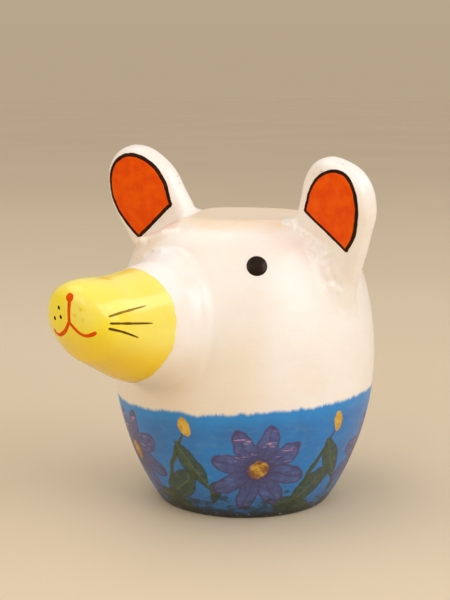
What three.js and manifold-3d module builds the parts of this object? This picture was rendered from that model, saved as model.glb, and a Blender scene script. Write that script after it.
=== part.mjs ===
// Mouse figurine of turned wood: a barrel body, a stub snout and two paddle ears set on with
// dowels, filler that blends them into the body, and two black eye plugs.
// Millimetres, +Z up, facing -Y, the figure's left hand on +X, origin at the centre of the foot.

import * as THREE from "three";
import { mergeVertices } from "three/addons/utils/BufferGeometryUtils.js";
import Module from "manifold-3d";

const wasm = await Module();
wasm.setup();

const degree = Math.PI / 180;

// Body: a barrel whose side is one long arc, rounded into the foot and into the flat crown
const bodyHeight = 76.7;
const bodyRadius = 35;
const bellyHeight = 39.5;
const sideArcRadius = 71;
const shoulderRadius = 14;
const footRound = 1.2;

// Snout: a turned cone that leaves the body at its seat and points up a little
const snoutSeatBelowCrown = 26.9;
const snoutLift = 12.1 * degree;
const snoutLength = 31;
const snoutRootRadius = 14.2;
const snoutTipRadius = 10.4;

// Brow: above, the snout widens towards the body
const browSwell = 4.6;
const browLength = 20.5;
const browFade = 1.3;

// Nose: the round end of the cone, carved to stand forward at the top, with the chin drawn back
const noseLength = 9.4;
const noseRoundness = 2.6;
const noseTilt = 0.45;
const chinStart = 8.4;
const chinRecess = 0.3;

// Ears: paddles with a round top, splayed outwards and leaning forwards
const earSeatAngle = 60 * degree;
const earForward = 0.4;
const earLean = 12.5 * degree;
const earThickness = 7.5;
const earEdgeRound = 3;
const earInnerRoot = 10.8;
const earOuterRoot = 9.6;

// The two ears were shaped and set by hand, so each has its own outline and splay
const earSplay = { left: 22.5 * degree, right: 24.5 * degree };
const earHalfWidth = { left: 10.5, right: 11.9 };
const earCentreHeight = { left: 11.5, right: 10.4 };
const earCrownRise = { left: 13.4, right: 15.7 };
const earCrownSquareness = { left: 2.6, right: 2 };

// Flats planed on the shoulders for the ears to stand on, as heights above each seat
const earFlat = { left: 3.6, right: 0.8 };

// Eyes: domed plugs pressed into drilled holes
const eyeRadius = 2.4;
const eyeAzimuth = { left: 46 * degree, right: 60 * degree };
const eyeBelowCrown = 9.4;
const eyeShankDepth = 4.5;
const eyeDomeHeight = 0.35;

// Dowels
const snoutDowelRadius = 4;
const snoutDowelInBody = 18;
const snoutDowelInSnout = 16;
const earDowelRadius = 1.6;
const earDowelInBody = 13;
const earDowelInEar = 11;
const dowelChamfer = 0.6;

// Filler: how far it runs up the piece and out along the body; in front of an ear it fills up to the
// flat and sweeps widest
const snoutFillerCrest = 7.4;
const snoutFillerTop = 1;
const snoutFillerSide = 1.7;
const snoutFillerUnder = 2.4;
const earFillerRise = 2.2;
const earFillerOverFlat = 1;
const earFillerSide = 1.8;
const earFillerFront = 6;
const fillerEdge = 0.15;

// Clearances: the glue line between scribed faces, and the room round and behind a plug
const glueGap = 0.3;
const socketGap = 0.2;
const socketRelief = 0.5;

// Depths under a seat that lie inside the body, where scribed pieces start before they are cut
const scribeDepth = bodyRadius / 2;
const earRootDepth = earOuterRoot + earThickness / 2;

// Facets round each turned piece, and steps along each curve
const bodyFacets = 64;
const snoutFacets = 48;
const plugFacets = 24;
const footSteps = 3;
const bodySideSteps = 18;
const shoulderSteps = 7;
const snoutSideSteps = 10;
const noseSteps = 8;
const earSideSteps = 6;
const earCrownSteps = 18;
const earEdgeSteps = 4;
const eyeDomeSteps = 6;
const fillerSteps = 48;
const fillerCurveSteps = 6;
const tolerance = 1e-4;

const paint = {
  white: new THREE.MeshStandardMaterial({ color: 0xf3e9dc, roughness: 0.32, metalness: 0 }),
  yellow: new THREE.MeshStandardMaterial({ color: 0xefc81e, roughness: 0.3, metalness: 0 }),
  black: new THREE.MeshStandardMaterial({ color: 0x1d1815, roughness: 0.18, metalness: 0 }),
  bare: new THREE.MeshStandardMaterial({ color: 0xd2b182, roughness: 0.7, metalness: 0 }),
};

// Solids

// A closed geometry as a solid that can be cut; the flat triangles at a revolve's poles are dropped
function solidFrom(geometry) {
  const bare = geometry.clone();
  bare.deleteAttribute("normal");
  bare.deleteAttribute("uv");
  const merged = mergeVertices(bare, tolerance);
  const corners = merged.index.array;
  const kept = [];
  for (let i = 0; i < corners.length; i += 3) {
    const [a, b, c] = corners.slice(i, i + 3);
    if (a !== b && b !== c && c !== a) kept.push(a, b, c);
  }
  const vertProperties = new Float32Array(merged.attributes.position.array);
  const triVerts = new Uint32Array(kept);
  return new wasm.Manifold(new wasm.Mesh({ numProp: 3, vertProperties, triVerts }));
}

function geometryFrom(solid) {
  const mesh = solid.getMesh();
  const geometry = new THREE.BufferGeometry();
  geometry.setAttribute("position", new THREE.BufferAttribute(mesh.vertProperties, 3));
  geometry.setIndex(new THREE.BufferAttribute(mesh.triVerts, 1));
  geometry.computeVertexNormals();
  return geometry;
}

function cut(geometry, ...tools) {
  const solid = tools.reduce((left, tool) => left.subtract(solidFrom(tool)), solidFrom(geometry));
  return geometryFrom(solid);
}

// A profile of (radius, height) points, from the bottom up, turned round the Z axis
function turned(profile, facets) {
  return new THREE.LatheGeometry(profile, facets).rotateX(Math.PI / 2);
}

// The same geometry as seen from inside a piece's own frame
function seenFrom(frame, geometry) {
  return geometry.clone().applyMatrix4(frame.matrixWorld.clone().invert());
}

// The same geometry, moved out of a piece's own frame
function placedBy(frame, geometry) {
  return geometry.clone().applyMatrix4(frame.matrixWorld);
}

// Body surface

// The three arcs of the body's half section, each as a centre and the angles between which it runs
const sideCentre = new THREE.Vector2(bodyRadius - sideArcRadius, bellyHeight);
const footAngle = Math.asin((footRound - bellyHeight) / (sideArcRadius - footRound));
const shoulderAngle = Math.asin(
  (bodyHeight - shoulderRadius - bellyHeight) / (sideArcRadius - shoulderRadius),
);
const footCentre = new THREE.Vector2(
  sideCentre.x + (sideArcRadius - footRound) * Math.cos(footAngle),
  footRound,
);
const shoulderCentre = new THREE.Vector2(
  sideCentre.x + (sideArcRadius - shoulderRadius) * Math.cos(shoulderAngle),
  bodyHeight - shoulderRadius,
);

// Half section of the body, or of the body grown by a margin on every side
function bodySection(margin) {
  const arc = (centre, radius, from, to, steps) =>
    new THREE.EllipseCurve(centre.x, centre.y, radius + margin, radius + margin, from, to).getPoints(steps);
  return [
    new THREE.Vector2(0, -margin),
    ...arc(footCentre, footRound, -Math.PI / 2, footAngle, footSteps),
    ...arc(sideCentre, sideArcRadius, footAngle, shoulderAngle, bodySideSteps).slice(1),
    ...arc(shoulderCentre, shoulderRadius, shoulderAngle, Math.PI / 2, shoulderSteps).slice(1),
    new THREE.Vector2(0, bodyHeight + margin),
  ];
}

// Angle of the body's outward normal above the horizontal, and its radius, at a height on the side
function bodySlopeAt(height) {
  const shoulderStart = sideCentre.y + sideArcRadius * Math.sin(shoulderAngle);
  if (height > shoulderStart) return Math.asin((height - shoulderCentre.y) / shoulderRadius);
  return Math.asin((height - sideCentre.y) / sideArcRadius);
}

function bodyRadiusAt(height) {
  const slope = bodySlopeAt(height);
  if (slope > shoulderAngle) return shoulderCentre.x + shoulderRadius * Math.cos(slope);
  return sideCentre.x + sideArcRadius * Math.cos(slope);
}

// Seats

// The figure's left hand is on +X
function sideOf(hand) {
  return hand === "left" ? 1 : -1;
}

// Frames of the seated pieces: the origin on the body's surface, +Z along the piece
function seatFrame(position, rotation) {
  const frame = new THREE.Group();
  frame.position.copy(position);
  frame.rotation.copy(rotation);
  frame.updateMatrixWorld();
  return frame;
}

function snoutFrame() {
  const height = bodyHeight - snoutSeatBelowCrown;
  const seat = new THREE.Vector3(0, -bodyRadiusAt(height), height);
  return seatFrame(seat, new THREE.Euler(Math.PI / 2 - snoutLift, 0, 0));
}

function earFrame(hand) {
  const side = sideOf(hand);
  const seatRadius = shoulderCentre.x + shoulderRadius * Math.sin(earSeatAngle);
  const seatHeight = shoulderCentre.y + shoulderRadius * Math.cos(earSeatAngle);
  const across = Math.sqrt(seatRadius ** 2 - earForward ** 2);
  const seat = new THREE.Vector3(side * across, -earForward, seatHeight);
  return seatFrame(seat, new THREE.Euler(earLean, side * earSplay[hand], 0, "YXZ"));
}

function eyeFrame(hand) {
  const height = bodyHeight - eyeBelowCrown;
  const radius = bodyRadiusAt(height);
  const azimuth = sideOf(hand) * eyeAzimuth[hand];
  const seat = new THREE.Vector3(radius * Math.sin(azimuth), -radius * Math.cos(azimuth), height);
  const tilt = Math.PI / 2 - bodySlopeAt(height);
  return seatFrame(seat, new THREE.Euler(tilt, 0, azimuth, "ZXY"));
}

const hands = ["left", "right"];
const earFrames = { left: earFrame("left"), right: earFrame("right") };

// Planed body

// The body with its two flats, or the same grown by a margin on every side
function bodySolid(margin) {
  const reach = 2 * bodyRadius;
  const planed = hands.map((hand) => {
    const above = new THREE.BoxGeometry(reach, reach, reach);
    return placedBy(earFrames[hand], above.translate(0, 0, earFlat[hand] + margin + reach / 2));
  });
  return cut(turned(bodySection(margin), bodyFacets), ...planed);
}

function insideBody(point) {
  if (point.z < 0 || point.z > bodyHeight) return false;
  if (Math.hypot(point.x, point.y) > bodyRadiusAt(point.z)) return false;
  return hands.every((hand) => earFrames[hand].worldToLocal(point.clone()).z < earFlat[hand]);
}

// Height in a seated piece's frame at which the body's surface lies under the point (x, y)
function surfaceUnder(frame, x, y) {
  let inside = -scribeDepth;
  let outside = bodyHeight;
  while (outside - inside > tolerance) {
    const middle = (inside + outside) / 2;
    const point = new THREE.Vector3(x, y, middle).applyMatrix4(frame.matrixWorld);
    if (insideBody(point)) inside = middle;
    else outside = middle;
  }
  return inside;
}

// Dowels and sockets

// A round pin between two heights of its frame, with chamfered ends
function pin(radius, from, to, chamfer) {
  const profile = [
    new THREE.Vector2(0, from),
    new THREE.Vector2(radius - chamfer, from),
    new THREE.Vector2(radius, from + chamfer),
    new THREE.Vector2(radius, to - chamfer),
    new THREE.Vector2(radius - chamfer, to),
    new THREE.Vector2(0, to),
  ];
  return turned(profile, plugFacets);
}

// The drilled hole for such a pin, a little wider and deeper at both ends
function bore(radius, from, to) {
  const profile = [
    new THREE.Vector2(0, from - socketRelief),
    new THREE.Vector2(radius + socketGap, from - socketRelief),
    new THREE.Vector2(radius + socketGap, to + socketRelief),
    new THREE.Vector2(0, to + socketRelief),
  ];
  return turned(profile, plugFacets);
}

// Snout

const noseStart = snoutLength - noseLength;

// Radius of the half section above the seat: a cone, closed by the round nose
function snoutRadiusAt(height) {
  const cone = THREE.MathUtils.lerp(snoutRootRadius, snoutTipRadius, Math.max(height, 0) / snoutLength);
  const share = THREE.MathUtils.clamp((height - noseStart) / noseLength, 0, 1);
  return cone * (1 - share ** noseRoundness) ** (1 / noseRoundness);
}

// How far the brow stands out from the cone; up is the sine of the angle round the snout
function browAt(up, along) {
  const share = THREE.MathUtils.clamp(1 - along / browLength, 0, 1);
  return browSwell * Math.max(up, 0) ** 2 * share ** browFade;
}

// The carving of the brow, the chin and the nose, worked on the turned snout
function carved(snout) {
  const { lerp, smoothstep } = THREE.MathUtils;
  const spots = snout.attributes.position;
  for (let i = 0; i < spots.count; i += 1) {
    const spot = new THREE.Vector3().fromBufferAttribute(spots, i);
    const along = spot.z;
    const radius = Math.hypot(spot.x, spot.y);
    if (radius > 0) spot.multiplyScalar(1 + browAt(spot.y / radius, along) / radius);
    if (spot.y < 0) spot.y *= lerp(1, 1 - chinRecess, smoothstep(along, chinStart, snoutLength));
    const tilt = noseTilt * smoothstep(along, noseStart, snoutLength);
    spots.setXYZ(i, spot.x, spot.y, along + tilt * spot.y);
  }
  return snout;
}

// The snout, or the snout grown by a margin on every side
function snoutSolid(margin) {
  const profile = [
    new THREE.Vector2(0, -scribeDepth),
    new THREE.Vector2(snoutRootRadius + margin, -scribeDepth),
  ];
  for (let i = 0; i <= snoutSideSteps; i += 1) {
    const height = (noseStart * i) / snoutSideSteps;
    profile.push(new THREE.Vector2(snoutRadiusAt(height) + margin, height));
  }
  for (let i = 1; i <= noseSteps; i += 1) {
    const share = Math.sin(((i / noseSteps) * Math.PI) / 2);
    const height = noseStart + noseLength * share;
    const radius = i === noseSteps ? 0 : snoutRadiusAt(height) + margin;
    profile.push(new THREE.Vector2(radius, height + margin * share));
  }
  return carved(turned(profile, snoutFacets));
}

// Ears

// Half width of the blade below its widest line, easing out from its root
function earSideAt(hand, height, rootHalfWidth) {
  const centre = earCentreHeight[hand];
  const share = THREE.MathUtils.clamp((height + earRootDepth) / (centre + earRootDepth), 0, 1);
  return rootHalfWidth + (earHalfWidth[hand] - rootHalfWidth) * Math.sin((share * Math.PI) / 2);
}

// Outline of the blade: up the outer side, over the round crown, down the inner side
function earOutline(hand) {
  const side = sideOf(hand);
  const centre = earCentreHeight[hand];
  const heightOf = (i) => -earRootDepth + ((centre + earRootDepth) * i) / earSideSteps;
  const squared = (share) => Math.sign(share) * Math.abs(share) ** (2 / earCrownSquareness[hand]);
  const points = [];
  for (let i = 0; i < earSideSteps; i += 1) {
    const height = heightOf(i);
    points.push(new THREE.Vector2(side * earSideAt(hand, height, earOuterRoot), height));
  }
  for (let i = 0; i <= earCrownSteps; i += 1) {
    const angle = (Math.PI * i) / earCrownSteps;
    const across = side * earHalfWidth[hand] * squared(Math.cos(angle));
    points.push(new THREE.Vector2(across, centre + earCrownRise[hand] * squared(Math.sin(angle))));
  }
  for (let i = earSideSteps - 1; i >= 0; i -= 1) {
    const height = heightOf(i);
    points.push(new THREE.Vector2(-side * earSideAt(hand, height, earInnerRoot), height));
  }
  return new THREE.Shape(points);
}

// The blade with its rounded edges, or the blade grown by a margin on every side
function earSolid(hand, margin) {
  const round = earEdgeRound;
  const depth = earThickness - 2 * round + 2 * margin;
  const blade = new THREE.ExtrudeGeometry(earOutline(hand), {
    depth,
    bevelEnabled: true,
    bevelThickness: round,
    bevelSize: round,
    bevelOffset: margin - round,
    bevelSegments: earEdgeSteps,
    steps: 1,
  });
  return blade.translate(0, 0, -depth / 2).rotateX(Math.PI / 2);
}

// Filler

// A ring round a seated piece. At each turn its section climbs the piece's wall to the crest and
// runs out along the body in a hollow quarter curve; below, it is sunk and then cut to fit.
function fillerRing(frame, wallAt, outwardAt, crestAt, spreadAt) {
  const lip = glueGap + fillerEdge;
  const sections = [];
  for (let i = 0; i < fillerSteps; i += 1) {
    const turn = i / fillerSteps;
    const outward = outwardAt(turn);
    const spread = spreadAt(turn);
    const root = wallAt(turn, 0);
    const foot = wallAt(turn, surfaceUnder(frame, root.x, root.y));
    const at = (out, height) =>
      new THREE.Vector3(foot.x + outward.x * out, foot.y + outward.y * out, height);
    const bodyAt = (out) => surfaceUnder(frame, foot.x + outward.x * out, foot.y + outward.y * out);
    const lipOver = (out) => lip * Math.hypot(1, (bodyAt(out + lip) - bodyAt(out - lip)) / (2 * lip));
    const crest = crestAt(turn, bodyAt(0));
    const section = [];
    for (let j = 0; j <= fillerCurveSteps; j += 1) {
      const angle = ((j / fillerCurveSteps) * Math.PI) / 2;
      const run = lip + (spread - lip) * (1 - Math.cos(angle));
      const ground = bodyAt(run) + lipOver(run);
      const height = ground + (crest - bodyAt(lip) - lipOver(lip)) * (1 - Math.sin(angle));
      const drawIn = wallAt(turn, height).clone().sub(foot).dot(outward) * Math.cos(angle);
      section.push(at(run + drawIn, height));
    }
    const sunk = 4 * glueGap;
    section.push(at(spread, bodyAt(spread) - sunk));
    section.push(at(-sunk, bodyAt(-sunk) - sunk));
    section.push(at(-2 * sunk, crest));
    sections.push(section);
  }
  return ringThrough(sections);
}

// A closed ring of quads through equal sections, each joined to the next and the last to the first
function ringThrough(sections) {
  const size = sections[0].length;
  const corners = [];
  sections.forEach((section, i) => {
    const next = (i + 1) % sections.length;
    section.forEach((_, j) => {
      const above = (j + 1) % size;
      const a = i * size + j;
      const b = next * size + j;
      const c = next * size + above;
      const d = i * size + above;
      corners.push(a, d, c, a, c, b);
    });
  });
  const geometry = new THREE.BufferGeometry().setFromPoints(sections.flat());
  geometry.setIndex(corners);
  return geometry;
}

function snoutFiller(frame) {
  const outwardAt = (turn) => {
    const angle = 2 * Math.PI * turn;
    return new THREE.Vector2(Math.cos(angle), Math.sin(angle));
  };
  const wallAt = (turn, height) => {
    const outward = outwardAt(turn);
    return outward.multiplyScalar(snoutRadiusAt(height) + browAt(outward.y, height));
  };
  const crestAt = () => snoutFillerCrest;
  const spreadAt = (turn) => {
    const up = outwardAt(turn).y;
    return THREE.MathUtils.lerp(snoutFillerSide, up > 0 ? snoutFillerTop : snoutFillerUnder, up ** 2);
  };
  const ring = fillerRing(frame, wallAt, outwardAt, crestAt, spreadAt);
  return cut(ring, seenFrom(frame, bodySolid(glueGap)), snoutSolid(glueGap));
}

// The ear's section at a height: a bar with round corners
function earPlan(hand, height) {
  const flat = earThickness / 2 - earEdgeRound;
  const outer = earSideAt(hand, height, earOuterRoot) - earEdgeRound;
  const inner = earSideAt(hand, height, earInnerRoot) - earEdgeRound;
  const [right, left] = sideOf(hand) > 0 ? [outer, inner] : [inner, outer];
  const plan = new THREE.Path();
  plan.absarc(right, -flat, earEdgeRound, -Math.PI / 2, 0);
  plan.absarc(right, flat, earEdgeRound, 0, Math.PI / 2);
  plan.absarc(-left, flat, earEdgeRound, Math.PI / 2, Math.PI);
  plan.absarc(-left, -flat, earEdgeRound, Math.PI, 1.5 * Math.PI);
  plan.closePath();
  return plan;
}

function earFiller(frame, hand) {
  const { lerp } = THREE.MathUtils;
  const rootPlan = earPlan(hand, 0);
  const outwardAt = (turn) => {
    const along = rootPlan.getTangentAt(turn);
    return new THREE.Vector2(along.y, -along.x);
  };
  const wallAt = (turn, height) => earPlan(hand, height).getPointAt(turn);
  const forwardAt = (turn) => Math.max(-outwardAt(turn).y, 0) ** 2;
  const crestAt = (turn, ground) => {
    const overFlat = Math.max(earFlat[hand], ground) + earFillerOverFlat;
    return lerp(ground + earFillerRise, overFlat, forwardAt(turn));
  };
  const spreadAt = (turn) => lerp(earFillerSide, earFillerFront, forwardAt(turn));
  const ring = fillerRing(frame, wallAt, outwardAt, crestAt, spreadAt);
  return cut(ring, seenFrom(frame, bodySolid(glueGap)), earSolid(hand, glueGap));
}

// Eyes

function eyeSolid() {
  const domeRadius = (eyeRadius ** 2 + eyeDomeHeight ** 2) / (2 * eyeDomeHeight);
  const halfSpan = Math.asin(eyeRadius / domeRadius);
  const profile = [new THREE.Vector2(0, -eyeShankDepth), new THREE.Vector2(eyeRadius, -eyeShankDepth)];
  for (let i = 0; i <= eyeDomeSteps; i += 1) {
    const angle = halfSpan * (1 - i / eyeDomeSteps);
    const height = domeRadius * Math.cos(angle) - domeRadius + eyeDomeHeight;
    const radius = i === eyeDomeSteps ? 0 : domeRadius * Math.sin(angle);
    profile.push(new THREE.Vector2(radius, height));
  }
  return turned(profile, plugFacets);
}

// Assembly

const figurine = new THREE.Group();

function addTo(frame, name, geometry, material) {
  const mesh = new THREE.Mesh(geometry, material);
  mesh.name = name;
  frame.add(mesh);
}

const sockets = [];

function addSnout() {
  const frame = snoutFrame();
  const socket = bore(snoutDowelRadius, -snoutDowelInBody, snoutDowelInSnout);
  const seat = seenFrom(frame, bodySolid(glueGap));
  addTo(frame, "snout", cut(snoutSolid(0), seat, socket), paint.yellow);
  const dowel = pin(snoutDowelRadius, -snoutDowelInBody, snoutDowelInSnout, dowelChamfer);
  addTo(frame, "snout_dowel", dowel, paint.bare);
  addTo(frame, "snout_filler", snoutFiller(frame), paint.white);
  sockets.push(placedBy(frame, socket));
  figurine.add(frame);
}

function addEar(hand) {
  const frame = earFrames[hand];
  const socket = bore(earDowelRadius, -earDowelInBody, earDowelInEar);
  const seat = seenFrom(frame, bodySolid(glueGap));
  addTo(frame, `${hand}_ear`, cut(earSolid(hand, 0), seat, socket), paint.white);
  const dowel = pin(earDowelRadius, -earDowelInBody, earDowelInEar, dowelChamfer);
  addTo(frame, `${hand}_ear_dowel`, dowel, paint.bare);
  addTo(frame, `${hand}_ear_filler`, earFiller(frame, hand), paint.white);
  sockets.push(placedBy(frame, socket));
  figurine.add(frame);
}

function addEye(hand) {
  const frame = eyeFrame(hand);
  addTo(frame, `${hand}_eye`, eyeSolid(), paint.black);
  sockets.push(placedBy(frame, bore(eyeRadius, -eyeShankDepth, eyeDomeHeight)));
  figurine.add(frame);
}

addSnout();
hands.forEach(addEar);
hands.forEach(addEye);
addTo(figurine, "body", cut(bodySolid(0), ...sockets), paint.white);

export default figurine;
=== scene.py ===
"""A painted wooden mouse figurine: turned body, snout and ears set on with filler, painted face.

Everything is in metres, +Z up, with the foot's centre at the origin and the snout towards -Y.
"""

import math

import bmesh
import bpy
from mathutils import Matrix, Vector, noise
from mathutils.bvhtree import BVHTree
from mathutils.geometry import intersect_point_line


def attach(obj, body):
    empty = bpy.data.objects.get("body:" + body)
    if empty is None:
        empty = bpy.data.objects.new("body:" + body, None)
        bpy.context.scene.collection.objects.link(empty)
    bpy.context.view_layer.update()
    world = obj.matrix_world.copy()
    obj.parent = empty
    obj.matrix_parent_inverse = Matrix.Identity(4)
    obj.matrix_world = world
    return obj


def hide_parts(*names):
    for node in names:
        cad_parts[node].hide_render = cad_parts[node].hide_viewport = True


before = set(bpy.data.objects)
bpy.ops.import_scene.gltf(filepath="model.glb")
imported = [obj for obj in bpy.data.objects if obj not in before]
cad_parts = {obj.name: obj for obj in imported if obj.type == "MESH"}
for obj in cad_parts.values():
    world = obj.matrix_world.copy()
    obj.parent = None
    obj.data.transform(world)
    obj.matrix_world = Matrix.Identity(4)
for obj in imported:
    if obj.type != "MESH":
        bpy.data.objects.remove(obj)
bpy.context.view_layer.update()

MM = 0.001
FULL_TURN = 2 * math.pi
QUARTER_TURN = math.pi / 2
WELD = 1e-6

# The shake of the brush lines comes out the same in every run
noise.seed_set(5)

# Body: a barrel of three arcs, from the round foot over the side to the shoulder
BODY_HEIGHT = 76.7 * MM
BODY_RADIUS = 35 * MM
BELLY_HEIGHT = 39.5 * MM
SIDE_ARC = 71 * MM
SHOULDER_ROUND = 14 * MM
FOOT_ROUND = 1.2 * MM

# Snout: a cone tipped up from its seat, widening above towards the body
SNOUT_SEAT = BODY_HEIGHT - 26.9 * MM
SNOUT_LIFT = math.radians(12.1)
SNOUT_LENGTH = 31 * MM
SNOUT_ROOT = 14.2 * MM
SNOUT_TIP = 10.4 * MM
SNOUT_BURIED = 8 * MM
SNOUT_ROOT_BEVEL = 2 * MM
BROW_SWELL = 4.6 * MM
BROW_LENGTH = 20.5 * MM
BROW_FADE = 1.3

# Nose: the round end of the cone, forward at the top, with the chin drawn back
NOSE_LENGTH = 9.4 * MM
NOSE_START = SNOUT_LENGTH - NOSE_LENGTH
NOSE_ROUNDNESS = 2.6
NOSE_TILT = 0.45
CHIN_START = 8.4 * MM
CHIN_RECESS = 0.3

# Ears: paddles seated on the shoulder, leaning out and forwards, each with its own outline
EAR_SEAT_ANGLE = math.radians(60)
EAR_FORWARD = 0.4 * MM
EAR_LEAN = math.radians(12.5)
EAR_THICKNESS = 7.5 * MM
EAR_EDGE_ROUND = 3 * MM
EAR_HALF_FLAT = EAR_THICKNESS / 2 - EAR_EDGE_ROUND
EAR_ROOT = {"inner": 10.8 * MM, "outer": 9.6 * MM}
EAR_ROOT_DEPTH = EAR_ROOT["outer"] + EAR_THICKNESS / 2
EAR_BURIED = 12 * MM
EAR_TONGUE = 9 * MM
EAR_POLE_DROP = 4 * MM
EAR_SPLAY = {"left": math.radians(22.5), "right": math.radians(24.5)}
EAR_HALF_WIDTH = {"left": 10.5 * MM, "right": 11.9 * MM}
EAR_CENTRE = {"left": 11.5 * MM, "right": 10.4 * MM}
EAR_CROWN_RISE = {"left": 12.6 * MM, "right": 15.7 * MM}
EAR_SQUARENESS = {"left": {"inner": 2.9, "outer": 2.25}, "right": {"inner": 2, "outer": 2}}
SIDE = {"left": 1, "right": -1}

# Shares of an ear's outline below its widest line: each edge, and the tongue between them
EDGE_SHARE = 0.35
TONGUE_SHARE = 0.3

# Flats planed on the shoulders for the ears, as heights above each seat, with rubbed rims
EAR_FLAT = {"left": 3.6 * MM, "right": 0.8 * MM}
FLAT_RUB = 0.9 * MM

# Eyes: low black domes, sunk a little at their rims
EYE_RADIUS = 2.55 * MM
EYE_DOME = 0.35 * MM
EYE_SINK = 0.1 * MM
EYE_FULLNESS = 0.7
EYE_SHANK = 4.5 * MM
EYE_BELOW_CROWN = 10 * MM
EYE_AZIMUTH = {"left": math.radians(46), "right": math.radians(60)}

# Filler: how far it runs up the piece and out along the body
SNOUT_FILLER_RISE = 6.5 * MM
SNOUT_FILLER_TOP = 4 * MM
SNOUT_FILLER_SIDE = 3 * MM
SNOUT_FILLER_UNDER = 4 * MM
SNOUT_FILLER_LUMP = 0.25 * MM
EAR_FILLER_RISE = 1.8 * MM
EAR_FILLER_OUTER = {"left": 7.5 * MM, "right": 5 * MM}
EAR_FILLER_SIDE = 1.5 * MM
EAR_FILLER_INNER = {"left": 3 * MM, "right": 2.2 * MM}
EAR_FILLER_INNER_SPREAD = 1.3
EAR_FILLER_CORNER = 4 * MM
EAR_FILLER_FRONT = 6 * MM
EAR_FILLER_OVER_FLAT = 0.45 * MM
EAR_FILLER_LUMP = 0.25 * MM
EAR_FILLER_FRONT_LUMP = 0.5 * MM
EAR_HEAP_END = {"left": 2.5 * MM, "right": 7 * MM}
EAR_HEAP_FADE = 4 * MM
FILLER_SINK = 0.04 * MM

# Share of a ring's section that shows; the rest is its bed on the wall and the body
FILLER_SHOWN = 0.75

# Zones round an ear's section: the middle, and how far from it a zone is full and ends
EAR_ZONES = {"front": (0.85, 0.13, 0.23), "inner": (0.6, 0.06, 0.14), "outer": (0.02, 0.06, 0.16)}

# Dips and swells left by rasp and sandpaper: their depth and span
BODY_RASPED = (0.1 * MM, 11 * MM)
SNOUT_RASPED = (0.1 * MM, 9 * MM)
EAR_RASPED = (0.16 * MM, 6 * MM)

# Mesh steps: round a piece, then along or across it
BODY_STEPS = 288
SOLE_STEPS = 8
FOOT_STEPS = 6
SIDE_STEPS = 76
SHOULDER_STEPS = 36
CROWN_STEPS = 16
SNOUT_STEPS = 128
CONE_STEPS = 36
NOSE_STEPS = 32
EAR_STEPS = (120, 48)
FILLER_STEPS = (200, 32)
EYE_STEPS = 64
DOME_STEPS = 16
DAB_STEPS = (28, 12)
PATCH_STEPS = (120, 32)
STROKE_STEPS = 48
PATCH_LINE_POINTS = 60
PATCH_LINE_STEPS = 240
BEAD_STEPS = 12


# Shapes


def eased(value, low, high):
    """0 below low, 1 above high, smooth between."""
    share = min(max((value - low) / (high - low), 0), 1)
    return share * share * (3 - 2 * share)


def mix(start, end, share):
    return start + (end - start) * share


def squared(share, squareness):
    """A sine or cosine drawn out towards its ends, which squares up a round outline."""
    return math.copysign(abs(share) ** (2 / squareness), share)


def turned(profile, steps):
    """A half section of (radius, height) points, spun full round the Z axis."""
    bm = bmesh.new()
    points = [bm.verts.new((radius, 0, height)) for radius, height in profile]
    chain = [bm.edges.new(pair) for pair in zip(points, points[1:])]
    way = {"cent": (0, 0, 0), "axis": (0, 0, 1), "angle": FULL_TURN}
    bmesh.ops.spin(bm, geom=points + chain, **way, steps=steps, use_merge=True)
    return bm


def lay_sheet(bm, around, across, place):
    """A grid whose corners go where place(u, v) says, u and v running from 0 to 1."""
    made = bmesh.ops.create_grid(bm, x_segments=around, y_segments=across, size=0.5)
    for vert in made["verts"]:
        vert.co = place(vert.co.x + 0.5, vert.co.y + 0.5)


def weld(bm):
    bmesh.ops.remove_doubles(bm, verts=bm.verts, dist=WELD)
    bmesh.ops.dissolve_degenerate(bm, edges=bm.edges, dist=WELD)
    bmesh.ops.recalc_face_normals(bm, faces=bm.faces)
    return bm


def hand_worked(bm, depth, span):
    """Leaves the slight dips and swells of rasp and sandpaper on a surface."""
    bm.normal_update()
    moves = [vert.normal * depth * noise.noise(vert.co / span) for vert in bm.verts]
    for vert, move in zip(bm.verts, moves):
        vert.co += move


def place_mesh(name, bm, material):
    mesh = bpy.data.meshes.new(name)
    bm.to_mesh(mesh)
    bm.free()
    mesh.materials.append(material)
    made = bpy.data.objects.new(name, mesh)
    bpy.context.scene.collection.objects.link(made)
    return made


def finish_piece(name, bm, material, slot, *nodes):
    """Makes the shape a smooth piece of the figurine, standing for its CAD nodes."""
    piece = place_mesh(name, bm, material)
    piece.data.shade_smooth()
    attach(piece, "root")
    if nodes:
        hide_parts(*nodes)
    return piece


def surface_of(piece):
    bm = bmesh.new()
    bm.from_mesh(piece.data)
    tree = BVHTree.FromBMesh(bm)
    bm.free()
    return tree


# Body

SHOULDER_HEIGHT = BODY_HEIGHT - SHOULDER_ROUND
SIDE_CENTRE = Vector((BODY_RADIUS - SIDE_ARC, BELLY_HEIGHT))
FOOT_ANGLE = math.asin((FOOT_ROUND - BELLY_HEIGHT) / (SIDE_ARC - FOOT_ROUND))
SHOULDER_ANGLE = math.asin((SHOULDER_HEIGHT - BELLY_HEIGHT) / (SIDE_ARC - SHOULDER_ROUND))


def round_centre(radius, angle, height):
    """Centre of a round that runs into the side's arc at an angle."""
    return Vector((SIDE_CENTRE.x + (SIDE_ARC - radius) * math.cos(angle), height))


FOOT_CENTRE = round_centre(FOOT_ROUND, FOOT_ANGLE, FOOT_ROUND)
SHOULDER_CENTRE = round_centre(SHOULDER_ROUND, SHOULDER_ANGLE, SHOULDER_HEIGHT)


def arc(centre, radius, start, end, steps):
    angles = [start + (end - start) * i / steps for i in range(steps + 1)]
    return [(centre.x + radius * math.cos(a), centre.y + radius * math.sin(a)) for a in angles]


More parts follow.
